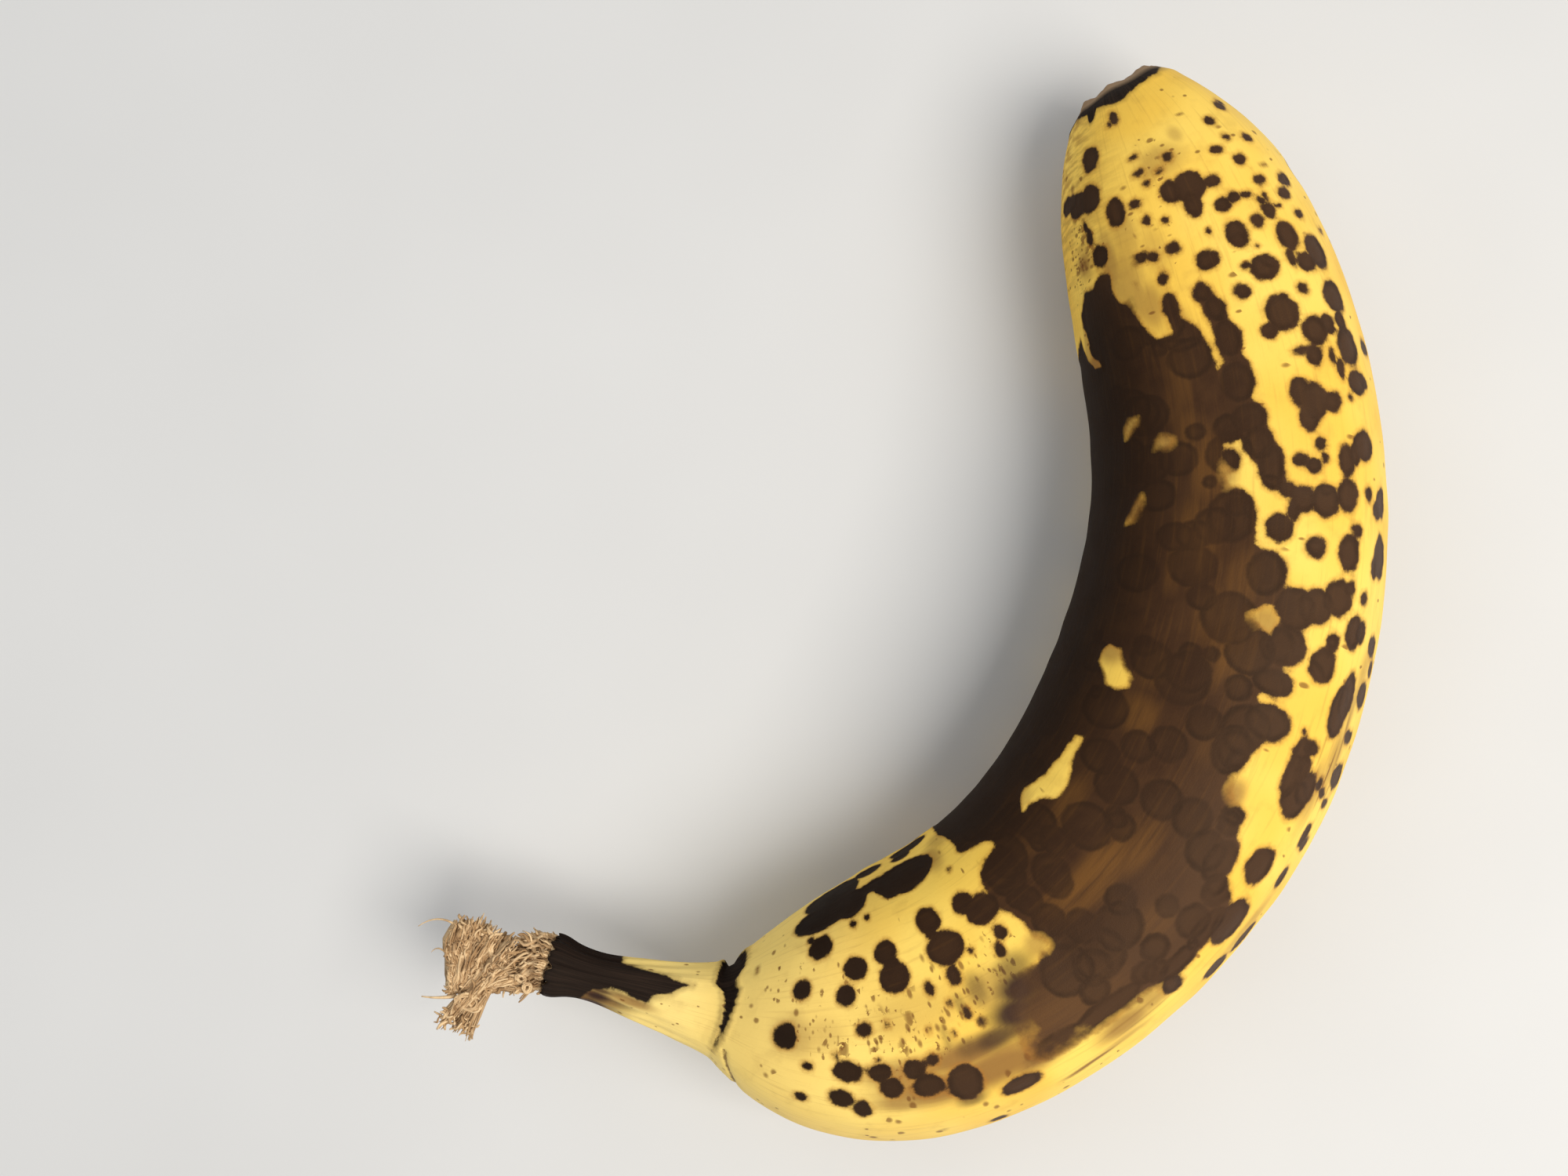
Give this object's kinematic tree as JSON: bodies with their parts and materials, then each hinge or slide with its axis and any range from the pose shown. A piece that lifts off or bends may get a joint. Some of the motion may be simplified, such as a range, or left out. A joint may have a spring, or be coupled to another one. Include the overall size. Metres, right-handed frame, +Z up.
{
  "type": "banana",
  "caption": "Overripe banana lying on its side: curved ridged body, split neck, torn fibrous stem and a blunt blossom end.",
  "frame": {"origin": "on the table, under the middle of the footprint of the banana lying on its side", "axes": "+X from the stem to the blossom end, along the chord of the bend; +Y into the hollow of the bend; +Z up from the table"},
  "size_m": [0.1548, 0.0864, 0.0357],
  "materials": {
    "peel": "thin ripe banana skin, yellow with dark brown patches and spots, satin to dull",
    "dry_fibre": "torn dry plant fibre, tan, dull"
  },
  "bodies": {
    "root": {"banana": "peel"}
  },
  "joints": []
}
